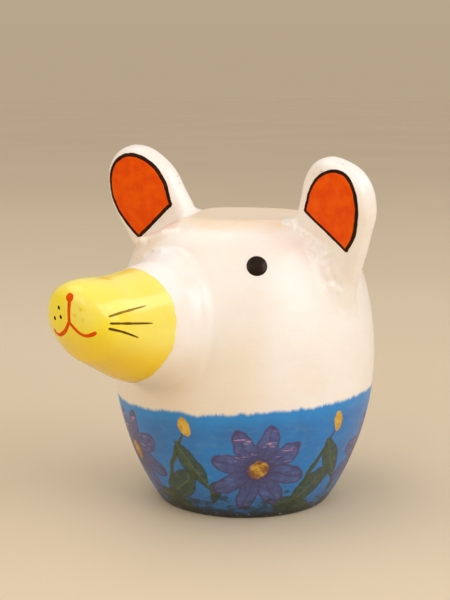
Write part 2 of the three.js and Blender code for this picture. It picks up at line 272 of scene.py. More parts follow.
def body_slope(height):
    """Angle of the body's outward normal above the horizontal."""
    if height > SIDE_CENTRE.y + SIDE_ARC * math.sin(SHOULDER_ANGLE):
        return math.asin((height - SHOULDER_CENTRE.y) / SHOULDER_ROUND)
    return math.asin((height - SIDE_CENTRE.y) / SIDE_ARC)


def body_radius(height):
    slope = body_slope(height)
    if slope > SHOULDER_ANGLE:
        return SHOULDER_CENTRE.x + SHOULDER_ROUND * math.cos(slope)
    return SIDE_CENTRE.x + SIDE_ARC * math.cos(slope)


def on_body(azimuth, height):
    """The spot at an azimuth from the front and a height."""
    radius = body_radius(height)
    return Vector((radius * math.sin(azimuth), -radius * math.cos(azimuth), height))


def body_shape():
    crown = [(SHOULDER_CENTRE.x * i / CROWN_STEPS, BODY_HEIGHT) for i in range(CROWN_STEPS)]
    profile = [(FOOT_CENTRE.x * i / SOLE_STEPS, 0) for i in range(SOLE_STEPS)]
    profile += arc(FOOT_CENTRE, FOOT_ROUND, -QUARTER_TURN, FOOT_ANGLE, FOOT_STEPS)
    profile += arc(SIDE_CENTRE, SIDE_ARC, FOOT_ANGLE, SHOULDER_ANGLE, SIDE_STEPS)[1:]
    profile += arc(
        SHOULDER_CENTRE, SHOULDER_ROUND, SHOULDER_ANGLE, QUARTER_TURN, SHOULDER_STEPS
    )[1:]
    bm = turned(profile + crown[::-1], BODY_STEPS)
    weld(bm)
    hand_worked(bm, *BODY_RASPED)
    plane_flats(bm)
    smear(bm)
    for vert in bm.verts:
        vert.co.z = min(max(vert.co.z, 0), BODY_HEIGHT)
    return bm


def plane_flats(bm):
    """Takes the shoulders down to the ears' flats and rubs the rims round."""
    for hand, flat in EAR_FLAT.items():
        seat = ear_frame(hand)
        unseat = seat.inverted()
        for vert in bm.verts:
            spot = unseat @ vert.co
            over = spot.z - flat
            if over > -FLAT_RUB:
                spot.z = flat - max(FLAT_RUB - over, 0) ** 2 / (4 * FLAT_RUB)
                vert.co = seat @ spot


# Smears of filler left standing between the right ear and the snout: the azimuth and height of
# each end, the half width and the rise, in degrees and mm
SMEARS = [
    ((-20, 69.7), (-6.5, 74), 1.5, 1.6),
    ((-13, 68.7), (-1, 69), 1, 1.2),
    ((-27, 65.7), (-17, 67), 1, 0.9),
    ((-41, 69), (-26, 70.2), 2, 1.5),
]

# A smear's run past its ends and rise to full, as shares of its length; its reach above and
# below, as shares of its half width; and the spans of its lumps
SMEAR_RUN_OUT = 0.2
SMEAR_FULL = 0.25
SMEAR_ABOVE = 1.6
SMEAR_BELOW = 0.8
SMEAR_LUMP = 2.2 * MM
SMEAR_FINE_LUMP = 1.1 * MM


def smear(bm):
    """Raises the smears, each steep below and running out softly above."""
    bm.normal_update()
    moves = {}
    for start, end, half_width, rise in SMEARS:
        first, last = (on_body(math.radians(turn), up * MM) for turn, up in (start, end))
        for vert in bm.verts:
            nearest, share = intersect_point_line(vert.co, first, last)
            if -SMEAR_RUN_OUT < share < 1 + SMEAR_RUN_OUT:
                gap = vert.co - nearest
                reach = half_width * MM * (SMEAR_ABOVE if gap.z > 0 else SMEAR_BELOW)
                ends = eased(share, -SMEAR_RUN_OUT, SMEAR_FULL)
                ends *= eased(share, 1 + SMEAR_RUN_OUT, 1 - SMEAR_FULL)
                lump = 0.8 + 0.6 * noise.noise(vert.co / SMEAR_LUMP)
                lump += 0.4 * noise.noise(vert.co / SMEAR_FINE_LUMP)
                height = rise * MM * lump * ends * (1 - eased(gap.length, 0, reach))
                moves[vert] = moves.get(vert, 0) + height
    for vert, height in moves.items():
        vert.co += vert.normal * height


# Snout


def snout_frame():
    seat = Vector((0, -body_radius(SNOUT_SEAT), SNOUT_SEAT))
    return Matrix.Translation(seat) @ Matrix.Rotation(QUARTER_TURN - SNOUT_LIFT, 4, "X")


def snout_radius(along):
    cone = SNOUT_ROOT + (SNOUT_TIP - SNOUT_ROOT) * max(along, 0) / SNOUT_LENGTH
    share = min(max((along - NOSE_START) / NOSE_LENGTH, 0), 1)
    return cone * (1 - share**NOSE_ROUNDNESS) ** (1 / NOSE_ROUNDNESS)


def brow(up, along):
    """How far the snout stands out from its cone; up is the sine of the angle round it."""
    share = min(max(1 - along / BROW_LENGTH, 0), 1)
    return BROW_SWELL * max(up, 0) ** 2 * share**BROW_FADE


def snout_shape():
    root = (0, SNOUT_ROOT / 2, SNOUT_ROOT - SNOUT_ROOT_BEVEL)
    profile = [(radius, -SNOUT_BURIED) for radius in root]
    for i in range(CONE_STEPS):
        along = NOSE_START * i / CONE_STEPS
        profile.append((snout_radius(along), along))
    for i in range(NOSE_STEPS + 1):
        along = NOSE_START + NOSE_LENGTH * math.sin(QUARTER_TURN * i / NOSE_STEPS)
        profile.append((0 if i == NOSE_STEPS else snout_radius(along), along))
    bm = turned(profile, SNOUT_STEPS)
    weld(bm)
    for vert in bm.verts:
        x, y, along = vert.co
        radius = math.hypot(x, y)
        swell = 1 + brow(y / radius, along) / radius if radius > WELD else 1
        chin = CHIN_RECESS * eased(along, CHIN_START, SNOUT_LENGTH) if y < 0 else 0
        up = y * swell * (1 - chin)
        forward = NOSE_TILT * up * eased(along, NOSE_START, SNOUT_LENGTH)
        vert.co = (x * swell, up, along + forward)
    hand_worked(bm, *SNOUT_RASPED)
    bm.transform(snout_frame())
    return bm


# Ears


def ear_frame(hand):
    seat_radius = SHOULDER_CENTRE.x + SHOULDER_ROUND * math.sin(EAR_SEAT_ANGLE)
    seat_height = SHOULDER_CENTRE.y + SHOULDER_ROUND * math.cos(EAR_SEAT_ANGLE)
    across = math.sqrt(seat_radius**2 - EAR_FORWARD**2)
    seat = Vector((SIDE[hand] * across, -EAR_FORWARD, seat_height))
    splay = Matrix.Rotation(SIDE[hand] * EAR_SPLAY[hand], 4, "Y")
    return Matrix.Translation(seat) @ (splay @ Matrix.Rotation(EAR_LEAN, 4, "X"))


def ear_side(hand, height, edge):
    """Half width of the blade below its widest line, easing out from its root."""
    depth = EAR_CENTRE[hand] + EAR_ROOT_DEPTH
    share = min(max((height + EAR_ROOT_DEPTH) / depth, 0), 1)
    return EAR_ROOT[edge] + (EAR_HALF_WIDTH[hand] - EAR_ROOT[edge]) * math.sin(share * QUARTER_TURN)


def ear_rim(hand, turn):
    """A point (outward, along) of the blade's outline, round from the outer side over the crown."""
    turn = turn % 1
    centre = EAR_CENTRE[hand]
    if turn <= 0.5:
        angle = turn * FULL_TURN
        squareness = EAR_SQUARENESS[hand]["outer" if turn < 0.25 else "inner"]
        across = EAR_HALF_WIDTH[hand] * squared(math.cos(angle), squareness)
        rise = EAR_CROWN_RISE[hand] * squared(math.sin(angle), squareness)
        return Vector((across, centre + rise))
    down = (turn - 0.5) * 2
    drop = centre + EAR_BURIED
    if down < EDGE_SHARE:
        height = centre - drop * down / EDGE_SHARE
        return Vector((-ear_side(hand, height, "inner"), height))
    if down > 1 - EDGE_SHARE:
        height = centre - drop * (1 - down) / EDGE_SHARE
        return Vector((ear_side(hand, height, "outer"), height))
    angle = math.pi * (1 + (down - EDGE_SHARE) / TONGUE_SHARE)
    edge = "inner" if math.cos(angle) < 0 else "outer"
    across = ear_side(hand, -EAR_BURIED, edge) * math.cos(angle)
    return Vector((across, -EAR_BURIED + EAR_TONGUE * math.sin(angle)))


def ear_shape(hand):
    """A ball pressed into the paddle: its equator is the rim, its poles the two faces."""
    pole = Vector((0, EAR_CENTRE[hand] - EAR_POLE_DROP))
    step = 0.002
    around, across = EAR_STEPS
    bm = bmesh.new()
    bmesh.ops.create_uvsphere(bm, u_segments=around, v_segments=across, radius=1)
    for vert in bm.verts:
        height = min(max(vert.co.z, -1), 1)
        latitude = math.asin(height)
        turn = math.atan2(vert.co.y, vert.co.x) / FULL_TURN
        rim = ear_rim(hand, turn)
        along_rim = ear_rim(hand, turn + step) - ear_rim(hand, turn - step)
        outward = Vector((along_rim.y, -along_rim.x)).normalized()
        face = math.copysign(1, height) if abs(height) > WELD else 0
        if abs(latitude) > math.pi / 4:
            share = (QUARTER_TURN - abs(latitude)) / (math.pi / 4)
            spot = pole.lerp(rim - outward * EAR_EDGE_ROUND, share)
            front = face * EAR_THICKNESS / 2
        else:
            spot = rim + outward * EAR_EDGE_ROUND * (math.cos(2 * latitude) - 1)
            front = face * EAR_HALF_FLAT + EAR_EDGE_ROUND * math.sin(2 * latitude)
        vert.co = (SIDE[hand] * spot.x, -front, spot.y)
    weld(bm)
    hand_worked(bm, *EAR_RASPED)
    bm.transform(ear_frame(hand))
    return bm


# Filler


def filler_shape(seat, wall_at, crest_at, spread_at, lump_at, wall_surface, body_surface):
    """A ring of filler from a piece's wall to the body, hollow in section and thin at both edges.

    With turn running from 0 to 1 round the piece, wall_at gives the wall and its outward
    direction, crest_at the upper edge's height, spread_at the run out along the body, and
    lump_at how high a lump of filler stands at a spot.
    """
    above = 20 * MM
    inward = seat.to_3x3() @ Vector((0, 0, -1))
    unseat = seat.inverted()

    def body_under(spot):
        hit = body_surface.ray_cast(seat @ Vector((spot.x, spot.y, above)), inward)
        return above - hit[3]

    def real_wall(turn, height):
        wall, outward = wall_at(turn, height)
        near = wall_surface.find_nearest(seat @ Vector((wall.x, wall.y, height)))[0]
        return (unseat @ near).to_2d(), outward

    def place(u, v):
        wall, outward = wall_at(u, 0)
        for _ in range(2):
            crest = crest_at(u, body_under(wall))
            wall, outward = wall_at(u, crest)
        rise = crest - body_under(wall)
        spread = spread_at(u)
        if v <= FILLER_SHOWN:
            bend = v / FILLER_SHOWN * QUARTER_TURN
            run = spread * (1 - math.cos(bend)) - FILLER_SINK * math.cos(bend)
            lift = rise * (1 - math.sin(bend)) - FILLER_SINK * math.sin(bend)
            swell = math.sin(v / FILLER_SHOWN * math.pi) ** 2
        else:
            back = (v - FILLER_SHOWN) / (1 - FILLER_SHOWN)
            run = (1 - back) ** 2 * spread - 2 * back * (1 - back) * spread - back**2 * FILLER_SINK
            lift = back**2 * rise - 2 * back * (1 - back) * rise - (1 - back) ** 2 * FILLER_SINK
            swell = 0
        height = body_under(wall) + lift
        for _ in range(2):
            wall, outward = real_wall(u, height)
            spot = wall + outward * run
            height = body_under(spot) + lift
        point = Vector((spot.x, spot.y, height))
        if swell:
            level = outward * math.cos(bend)
            point += Vector((level.x, level.y, math.sin(bend))) * swell * lump_at(u, point)
        return seat @ point

    bm = bmesh.new()
    lay_sheet(bm, *FILLER_STEPS, place)
    return weld(bm)


def snout_filler_shape(snout_surface, body_surface):
    def wall_at(turn, height):
        angle = turn * FULL_TURN
        outward = Vector((math.cos(angle), math.sin(angle)))
        return outward * (snout_radius(height) + brow(outward.y, height)), outward

    def crest_at(turn, ground):
        return ground + SNOUT_FILLER_RISE

    def spread_at(turn):
        up = math.sin(turn * FULL_TURN)
        end = SNOUT_FILLER_TOP if up > 0 else SNOUT_FILLER_UNDER
        return mix(SNOUT_FILLER_SIDE, end, eased(abs(up), 0.1, 0.8))

    def lump_at(turn, spot):
        return SNOUT_FILLER_LUMP * noise.noise(spot / (5 * MM))

    ways = (wall_at, crest_at, spread_at, lump_at)
    return filler_shape(snout_frame(), *ways, snout_surface, body_surface)


def ear_filler_shape(hand, ear_surface, body_surface):
    outer_end, back_end, inner_end = 0.2, 0.5, 0.7
    edge_share, face_share = 0.2, 0.3

    def wall_at(turn, height):
        """Round the blade's section: the outer edge, the back, the inner edge, the front."""
        outer = ear_side(hand, height, "outer") - EAR_EDGE_ROUND
        inner = ear_side(hand, height, "inner") - EAR_EDGE_ROUND
        if turn < outer_end:
            angle = (turn / edge_share - 0.5) * math.pi
            x = outer
        elif turn < back_end:
            angle = QUARTER_TURN
            x = outer - (outer + inner) * (turn - outer_end) / face_share
        elif turn < inner_end:
            angle = QUARTER_TURN + (turn - back_end) / edge_share * math.pi
            x = -inner
        else:
            angle = -QUARTER_TURN
            x = -inner + (outer + inner) * (turn - inner_end) / face_share
        outward = Vector((SIDE[hand] * math.cos(angle), math.sin(angle)))
        flat = math.copysign(EAR_HALF_FLAT, outward.y) if abs(outward.y) > WELD else 0
        return Vector((SIDE[hand] * x, flat)) + outward * EAR_EDGE_ROUND, outward

    def within(zone, turn):
        """1 in the middle of a zone of the section, 0 outside it, easing between."""
        middle, full, end = EAR_ZONES[zone]
        return 1 - eased(abs((turn - middle + 0.5) % 1 - 0.5), full, end)

    def heap(turn):
        """1 where the filler is heaped up to the flat, 0 where it only runs round the root."""
        wall, _ = wall_at(turn, 0)
        end = EAR_HEAP_END[hand]
        return within("front", turn) * (1 - eased(SIDE[hand] * wall.x, end, end + EAR_HEAP_FADE))

    def crest_at(turn, ground):
        rise = mix(EAR_FILLER_RISE, EAR_FILLER_INNER[hand], within("inner", turn))
        rise = mix(rise, EAR_FILLER_OUTER[hand], within("outer", turn))
        level = max(EAR_FLAT[hand], ground) + EAR_FILLER_OVER_FLAT
        return mix(ground + rise, level, heap(turn))

    def spread_at(turn):
        inner_spread = EAR_FILLER_INNER[hand] * EAR_FILLER_INNER_SPREAD
        spread = mix(EAR_FILLER_SIDE, inner_spread, within("inner", turn))
        spread = mix(spread, EAR_FILLER_CORNER, within("outer", turn))
        return mix(spread, EAR_FILLER_FRONT, within("front", turn))

    def lump_at(turn, spot):
        lump = noise.noise(spot / (2.4 * MM)) + 0.5 * noise.noise(spot / (1.1 * MM))
        return (EAR_FILLER_LUMP + EAR_FILLER_FRONT_LUMP * within("front", turn)) * lump

    ways = (wall_at, crest_at, spread_at, lump_at)
    return filler_shape(ear_frame(hand), *ways, ear_surface, body_surface)


# Eyes


def eye_frame(hand):
    height = BODY_HEIGHT - EYE_BELOW_CROWN
    azimuth = SIDE[hand] * EYE_AZIMUTH[hand]
    tilt = QUARTER_TURN - body_slope(height)
    seat = Matrix.Translation(on_body(azimuth, height)) @ Matrix.Rotation(azimuth, 4, "Z")
    return seat @ Matrix.Rotation(tilt, 4, "X")


def eye_shape(hand):
    profile = [(0, -EYE_SHANK), (EYE_RADIUS, -EYE_SHANK), (EYE_RADIUS, -2 * EYE_SINK)]
    for i in range(DOME_STEPS + 1):
        angle = QUARTER_TURN * i / DOME_STEPS
        radius = 0 if i == DOME_STEPS else EYE_RADIUS * math.cos(angle) ** EYE_FULLNESS
        profile.append((radius, -EYE_SINK + (EYE_DOME + EYE_SINK) * math.sin(angle)))
    bm = turned(profile, EYE_STEPS)
    weld(bm)
    bm.transform(eye_frame(hand))
    return bm


# Brushwork: paint as thin beads and dabs, with widths and heights in metres

STROKE_WOBBLE = 0.16
STROKE_WOBBLE_SPAN = 1.3 * MM
STROKE_END_HEIGHT = 1.5
DAUB_SQUARENESS = 6
DAB_HEIGHT = 0.09 * MM
MOUTH_STROKE = {"half_width": 0.47 * MM, "height": 0.09 * MM, "taper": (0.08, 0.14)}
WHISKER_STROKE = {"half_width": 0.29 * MM, "height": 0.05 * MM, "taper": (0.12, 0.6)}
PATCH_HEIGHT = 0.07 * MM
PATCH_LINE_HEIGHT = 0.1 * MM


def along_path(points, share, closed):
    """A point on a smooth line that runs through all the points."""
    count = len(points)
    spans = count if closed else count - 1
    place = share * spans
    start = min(int(place), spans - 1)
    t = place - start

    def point(i):
        return points[i % count] if closed else points[min(max(i, 0), count - 1)]

    a, b, c, d = (point(start + i) for i in (-1, 0, 1, 2))
    bend = 2 * a - 5 * b + 4 * c - d
    twist = 3 * b - a - 3 * c + d
    return 0.5 * (2 * b + (c - a) * t + bend * t**2 + twist * t**3)


def brush_line(bm, points, surface, half_width, height, taper=None, swell=None):
    """A bead of paint drawn over a surface through the points.

    taper gives the shares of its length over which its two ends thin out. With swell(share)
    instead, which says how wide it is along its way, the line closes on itself.
    """
    closed = swell is not None
    steps = PATCH_LINE_STEPS if closed else STROKE_STEPS
    spots = []
    for i in range(steps + 1):
        near, normal, _, _ = surface.find_nearest(along_path(points, i / steps, closed))
        spots.append((near, normal))

    def width_at(share):
        if closed:
            return swell(share)
        start = min(share / taper[0], 1)
        end = min((1 - share) / taper[1], 1)
        return math.sqrt(max(start * (2 - start), 0)) * math.sqrt(max(end * (2 - end), 0))

    def place(u, v):
        i = min(int(u * steps + 0.5), steps)
        spot, normal = spots[i]
        before = spots[(i - 1) % steps if closed else max(i - 1, 0)][0]
        after = spots[(i + 1) % steps if closed else min(i + 1, steps)][0]
        sideways = normal.cross(after - before).normalized()
        width = width_at(u)
        angle = v * FULL_TURN
        wobble = 1 + STROKE_WOBBLE * noise.noise(spot / STROKE_WOBBLE_SPAN)
        lift = math.sin(angle) * height * min(width * STROKE_END_HEIGHT, 1)
        return spot + sideways * math.cos(angle) * half_width * width * wobble + normal * lift

    lay_sheet(bm, steps, BEAD_STEPS, place)


def daub(bm, outline, surface, height, around, rings):
    """A flat dab of paint on a surface. outline(turn, share) gives a point inside its edge."""

    def place(u, v):
        bend = v * math.pi
        near, normal, _, _ = surface.find_nearest(outline(u, math.sin(bend)))
        return near + normal * height * squared(math.cos(bend), DAUB_SQUARENESS)

    lay_sheet(bm, around, rings, place)


# Face, as (across, up, along) places on the snout in mm
NOSE_DAB = (2.11, 5.92, 32.4)
NOSE_DAB_HALVES = (1.05, 1.08)
MOUTH_START = (1.5, 0.3, 31)
MOUTH_STROKES = [
    [(2.15, 5.5, 32.4), (2.22, 4.87, 32.5), (1.89, 2.33, 31.9), (1.5, 0.1, 31)],
    [MOUTH_START, (3.49, -1.66, 29.8), (5.09, -2.35, 29), (6.67, -2.01, 28.6), (8.03, -1.1, 28.3)],
    [MOUTH_START, (-0.5, -1.93, 30), (-3.24, -3.17, 28.8), (-4.87, -3, 28.5), (-5.22, -2, 29.2)],
]
TOP_WHISKER = [(9.79, 2.74, 27), (10.55, 4.56, 22), (10.69, 6.34, 15.9)]
MIDDLE_WHISKER = [(10.09, 1.25, 26.6), (11.43, 1.79, 21.3), (12.22, 2.43, 14.4)]
LOW_WHISKER = [(10.02, 0.06, 26.7), (11.29, -0.33, 23.1), (11.88, -1.3, 18.2)]
DARK_FRECKLES = [(-1.34, 3.16, 32.2), (-3.49, 0.59, 31), (-1.1, 1.08, 31.4)]
DARK_HALVES = (0.38, 0.54)
PALE_FRECKLES = [(5.19, 3.67, 31.4), (3.6, 2.09, 31.5), (5.58, 1.23, 30.7)]
PALE_HALVES = (0.4, 0.5)


def on_snout(across, up, along):
    return snout_frame() @ Vector((across * MM, up * MM, along * MM))


def dab_on_snout(bm, spot, halves, surface):
    across, up, along = spot

    def outline(turn, share):
        angle = turn * FULL_TURN
        aside = halves[0] * share * math.cos(angle)
        rise = halves[1] * share * math.sin(angle)
        return on_snout(across + aside, up + rise, along)

    daub(bm, outline, surface, DAB_HEIGHT, *DAB_STEPS)


def nose_and_mouth(surface):
    bm = bmesh.new()
    dab_on_snout(bm, NOSE_DAB, NOSE_DAB_HALVES, surface)
    for stroke in MOUTH_STROKES:
        brush_line(bm, [on_snout(*spot) for spot in stroke], surface, **MOUTH_STROKE)
    return weld(bm)


def whiskers(surface, *strokes):
    bm = bmesh.new()
    for side in (1, -1):
        for stroke in strokes:
            points = [on_snout(side * across, up, along) for across, up, along in stroke]
            brush_line(bm, points, surface, **WHISKER_STROKE)
    return weld(bm)


def freckles(surface, spots, halves):
    bm = bmesh.new()
    for spot in spots:
        dab_on_snout(bm, spot, halves, surface)
    return weld(bm)


# Inner ear patches, as (outward, along) sizes in mm: the arch's middle, half width and rise, the
# line's half width and its factor off the arch, and the two corners of the straight chord
PATCH = {
    "left": {"middle": (0.9, 11.5), "half": 7.8, "rise": 11.5, "line": 0.43, "off_arch": 1.12},
    "right": {"middle": (-0.5, 12), "half": 9.8, "rise": 12, "line": 0.54, "off_arch": 0.95},
}
CHORD = {
    "left": {"inner": (-6.9, 8.7), "outer": (7.6, 4.7)},
    "right": {"inner": (-9, 6), "outer": (6.6, 2.3)},
}

# Where round a patch's edge the arch, the inner side and the chord end, the share of each of
# the last three parts, the bow of the sides, and the shake of the line and its span
ARCH_END, INNER_END, CHORD_END = 0.55, 0.7, 0.85
STRAIGHT_SHARE = 0.15
INNER_BOW, OUTER_BOW = -0.15, 0.5
HAND_SHAKE, HAND_SHAKE_SPAN = 0.14, 3.1


def patch_edge(hand, turn):
    """A point (outward, along) on a patch's edge, round from the outer side over the arch."""
    patch = PATCH[hand]
    middle = Vector(patch["middle"])
    turn = turn % 1
    if turn <= ARCH_END:
        angle = turn / ARCH_END * math.pi
        return middle + Vector((patch["half"] * math.cos(angle), patch["rise"] * math.sin(angle)))
    inner, outer = (Vector(CHORD[hand][corner]) for corner in ("inner", "outer"))
    if turn <= INNER_END:
        share = (turn - ARCH_END) / STRAIGHT_SHARE
        shoulder = middle + Vector((-patch["half"], 0))
        return shoulder.lerp(inner, share) + Vector((INNER_BOW * math.sin(share * math.pi), 0))
    if turn <= CHORD_END:
        return inner.lerp(outer, (turn - INNER_END) / STRAIGHT_SHARE)
    share = (turn - CHORD_END) / STRAIGHT_SHARE
    shoulder = middle + Vector((patch["half"], 0))
    return outer.lerp(shoulder, share) + Vector((OUTER_BOW * math.sin(share * math.pi), 0))


def on_ear(hand, spot, surface):
    """The spot on the blade's front face that shows (outward, along) in mm."""
    seat = ear_frame(hand)
    before = seat @ Vector((SIDE[hand] * spot.x * MM, -2 * EAR_THICKNESS, spot.y * MM))
    return surface.ray_cast(before, seat.to_3x3() @ Vector((0, 1, 0)))[0]


def ear_patch(hand, surface):
    bm = bmesh.new()
    heart = Vector(PATCH[hand]["middle"])

    def outline(turn, share):
        return on_ear(hand, heart.lerp(patch_edge(hand, turn), share), surface)

    daub(bm, outline, surface, PATCH_HEIGHT, *PATCH_STEPS)
    return weld(bm)


def patch_line(hand, surface):
    points = []
    for i in range(PATCH_LINE_POINTS):
        spot = patch_edge(hand, i / PATCH_LINE_POINTS)
        shake = noise.noise_vector(Vector((spot.x, spot.y, 0)) / HAND_SHAKE_SPAN).to_2d()
        points.append(on_ear(hand, spot + HAND_SHAKE * shake, surface))

    def swell(share):
        """1 over the arch and down the inner side, another factor along the chord and outside."""
        arch = eased(share, 0.02, 0.2) * eased(share, 0.85, 0.68)
        return mix(PATCH[hand]["off_arch"], 1, arch)

    bm = bmesh.new()
    half_width = PATCH[hand]["line"] * MM
    brush_line(bm, points, surface, half_width, PATCH_LINE_HEIGHT, swell=swell)
    return weld(bm)


# Finishes


def both_ways(operation):
    """An operator on wires and its reflected form."""

    def plain(self, other):
        return self.maths(operation, self, other)

    def reflected(self, other):
        return self.maths(operation, other, self)

    return plain, reflected


class Wire:
    """One value in a material's nodes. Sums on wires add Math nodes."""

    __add__, __radd__ = both_ways("ADD")
    __sub__, __rsub__ = both_ways("SUBTRACT")
    __mul__, __rmul__ = both_ways("MULTIPLY")
    __truediv__, __rtruediv__ = both_ways("DIVIDE")

    def __init__(self, tree, socket=None):
        self.tree = tree
        self.socket = socket

    def node(self, kind, settings=(), sockets=(), out=0):
        """Adds a node: its settings first, then the values and links of its sockets."""
        made = self.tree.nodes.new("ShaderNode" + kind)
        for name, value in dict(settings).items():
            setattr(made, name, value)
        for key, value in dict(sockets).items():
            if isinstance(value, Wire):
                self.tree.links.new(value.socket, made.inputs[key])
            else:
                made.inputs[key].default_value = value
        return Wire(self.tree, made.outputs[out] if made.outputs else None)

    def maths(self, operation, *terms):
        return self.node("Math", {"operation": operation}, dict(enumerate(terms)))

    def __pow__(self, other):
        return self.maths("POWER", self, other)

    def __abs__(self):
        return self.maths("ABSOLUTE", self)

    def step(self, low, high):
        """0 below low, 1 above high, smooth between; falling where low is the larger."""
        sockets = {"Value": self, "From Min": low, "From Max": high}
        return self.node("MapRange", {"interpolation_type": "SMOOTHSTEP"}, sockets)

    def over(self, colour, under):
        """A colour laid over another where this mask is 1."""
        return self.node("Mix", {"data_type": "RGBA"}, {0: self, 6: under, 7: colour}, out=2)

    def scaled(self, factor):
        return self.node("VectorMath", {"operation": "SCALE"}, {0: self, "Scale": factor})

    def speckle(self, scale, detail=2.0, rough=0.5):
        """Noise over this vector, about 0.5."""
        sockets = {"Vector": self, "Scale": scale, "Detail": detail, "Roughness": rough}
        return self.node("TexNoise", {}, sockets)


def linear(red, green, blue):
    """A colour given as 0 to 255, as the shaders want it."""

    def channel(value):
        value /= 255
        return value / 12.92 if value <= 0.04045 else ((value + 0.055) / 1.055) ** 2.4

    return (channel(red), channel(green), channel(blue), 1)


PAINT = {
    "pearl": (253, 247, 242),
    "warm white": (251, 241, 231),
    "brush mark": (242, 226, 208),
    "painted shade white": (243, 226, 198),
    "chip": (202, 188, 168),
    "crown reflection cream": (255, 219, 174),
    "smear light cream": (250, 228, 198),
    "yellow": (253, 238, 112),
    "deep yellow": (252, 232, 88),
    "streak yellow": (253, 236, 120),
    "nose yellow": (253, 232, 22),
    "chin yellow": (253, 214, 0),
    "highlight yellow": (253, 237, 108),
    "blue": (26, 126, 206),
    "dull blue": (40, 112, 184),
    "chalk blue": (70, 138, 190),
    "foot blue": (50, 88, 146),
    "edge blue": (16, 150, 228),
    "stem": (62, 74, 40),
    "leaf": (36, 60, 38),
    "pale leaf": (70, 86, 34),
    "leaf vein": (104, 112, 54),
    "leaf edge": (28, 42, 30),
    "leaf scratch": (112, 146, 150),
    "petal": (64, 70, 126),
    "pale petal": (84, 96, 156),
    "petal streak": (90, 128, 186),
    "petal root": (58, 48, 92),
    "petal vein": (66, 48, 96),
    "petal edge": (74, 42, 84),
    "petal pink": (214, 146, 172),
    "heart": (130, 78, 40),
    "pale heart": (206, 160, 50),
    "bud": (196, 150, 44),
    "pale bud": (226, 186, 70),
    "moss": (34, 50, 32),
    "dark edge and painted shadow": (30, 30, 26),
    "worn foot": (206, 180, 168),
    "beech": (192, 152, 108),
    "pale beech": (222, 190, 148),
    "floor": (218, 200, 172),
    "pale floor": (222, 205, 178),
}
PAINT = {name: linear(*levels) for name, levels in PAINT.items()}


def coats(colour, *layers):
    """Paints laid over a colour, each where its mask is 1."""
    for mask, paint in layers:
        colour = mask.over(PAINT[paint], colour)
    return colour


# Enamels: a dark and a light tone, the roughness and the shine
ENAMEL = {
    "ear_orange": ((238, 78, 0), (248, 96, 0), 0.37, 0.08),
    "line_black": ((42, 22, 8), (60, 36, 17), 0.45, 0.05),
    "whisker_brown": ((98, 70, 0), (120, 90, 6), 0.4, 0.05),
    # Paler brown for the top whiskers, as a painted highlight where they cross the snout's sheen
    "highlit_brown": ((152, 122, 40), (172, 142, 64), 0.4, 0.05),
    "mouth_red": ((226, 80, 0), (234, 92, 0), 0.35, 0.05),
    # Pale yellow-green paint for the freckles beside the nose
    "light_freckle": ((238, 220, 44), (246, 228, 66), 0.35, 0.3),
    "eye_lacquer": ((30, 18, 9), (44, 29, 18), 0.07, 0.2),
}

# Clear coat over the white paint
WHITE_GLOSS = {"coat": 0.7, "coat_roughness": 0.33}


def start_finish(name):
    """A new material, and its place on the piece in millimetres."""
    material = bpy.data.materials.new(name)
    material.use_nodes = True
    tree = material.node_tree
    tree.nodes.clear()
    place = Wire(tree).node("TexCoord", out=3).scaled(1000)
    return material, place


def lay_finish(
    material, place, colour, roughness, height, depth, shine=0.5, coat=0.0, coat_roughness=0.14
):
    """The shader of a finish: colour, roughness, a bump that deep in metres, shine, clear coat."""
    bump = place.node("Bump", {}, {"Strength": 1.0, "Distance": depth, "Height": height})
    sockets = {"Base Color": colour, "Roughness": roughness, "Normal": bump}
    sockets["Specular IOR Level"] = shine
    sockets["Coat Weight"] = coat
    sockets["Coat Roughness"] = coat_roughness
    shader = place.node("BsdfPrincipled", {}, sockets)
    place.node("OutputMaterial", {}, {"Surface": shader})
    return material


def split(vector):
    return [vector.node("SeparateXYZ", {}, {0: vector}, out=i) for i in range(3)]


def joined(x, y, z):
    return x.node("CombineXYZ", {}, {0: x, 1: y, 2: z})


def to_frame(place, seat):
    """Millimetres in a seated piece's own frame."""
    parts = []
    for row in list(seat.inverted())[:3]:
        sockets = {0: place, 1: row[:3]}
        reach = place.node("VectorMath", {"operation": "DOT_PRODUCT"}, sockets, out=1)
        parts.append(reach + row[3] * 1000)
    return parts


def white_coat(place):
    """Warm pearl white, brushed on, with painted warm shade under the snout: its colour and the
    height of its brush marks.
    """
    x, y, z = split(place)
    cloud = place.speckle(0.09, 3)
    strokes = joined(x * 0.35, y * 0.35, z * 2.2).speckle(0.8, 3, 0.6)
    lumps = place.speckle(0.28, 2)
    # Below the snout the white is darkened and warmed as painted shade
    under_snout = z.step(54, 42) * y.step(-19, -29)
    colour = coats(
        PAINT["pearl"],
        (cloud.step(0.35, 0.7), "warm white"),
        (strokes.step(0.52, 0.75) * 0.12, "brush mark"),
        (under_snout * 0.6, "painted shade white"),
    )
    return colour, strokes * 0.2 + lumps * 0.9


def white_sheen(place):
    """Roughness of the white paint under its clear coat."""
    return place.speckle(0.5, 3) * 0.16 + 0.26


def pearl_white():
    material, place = start_finish("pearl_white")
    colour, height = white_coat(place)
    rough = white_sheen(place)
    return lay_finish(material, place, colour, rough, height, 0.12 * MM, **WHITE_GLOSS)


def carved_white():
    """The white coat over knife-cut wood: soft facets, and a few chips on the rims."""
    material, place = start_finish("carved_white")
    colour, height = white_coat(place)
    facets = place.speckle(0.22, 1)
    chips = place.speckle(0.75, 3, 0.6).step(0.63, 0.7) * place.speckle(0.11, 1).step(0.45, 0.58)
    colour = coats(colour, (chips * 0.7, "chip"))
    rough = white_sheen(place)
    height = height + facets * 2 - chips * 0.8
    return lay_finish(material, place, colour, rough, height, 0.16 * MM, **WHITE_GLOSS)


